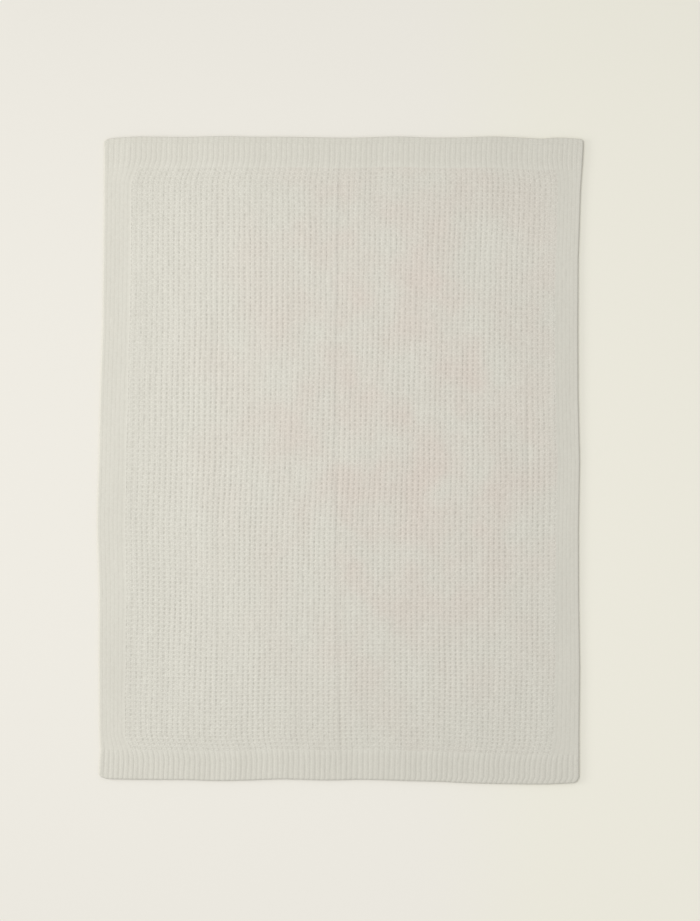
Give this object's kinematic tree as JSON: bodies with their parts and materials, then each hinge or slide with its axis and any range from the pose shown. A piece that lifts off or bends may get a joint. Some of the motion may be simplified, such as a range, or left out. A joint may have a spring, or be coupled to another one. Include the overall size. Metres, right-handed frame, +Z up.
{
  "type": "knitted waffle cotton blanket",
  "caption": "Flat rectangular knitted cotton blanket with a waffle field, a ribbed hem at each end and plain side borders.",
  "frame": {"origin": "middle of the underside, where the blanket lies on the surface", "axes": "+X across the wales to the right, +Y along the wales to the top end with the bound-off edge, +Z up out of the face side"},
  "size_m": [0.7702, 1.026, 0.0048],
  "materials": {
    "cotton_knit": "matte pale warm grey cotton knit"
  },
  "bodies": {
    "root": {"blanket": "cotton_knit"}
  },
  "joints": []
}
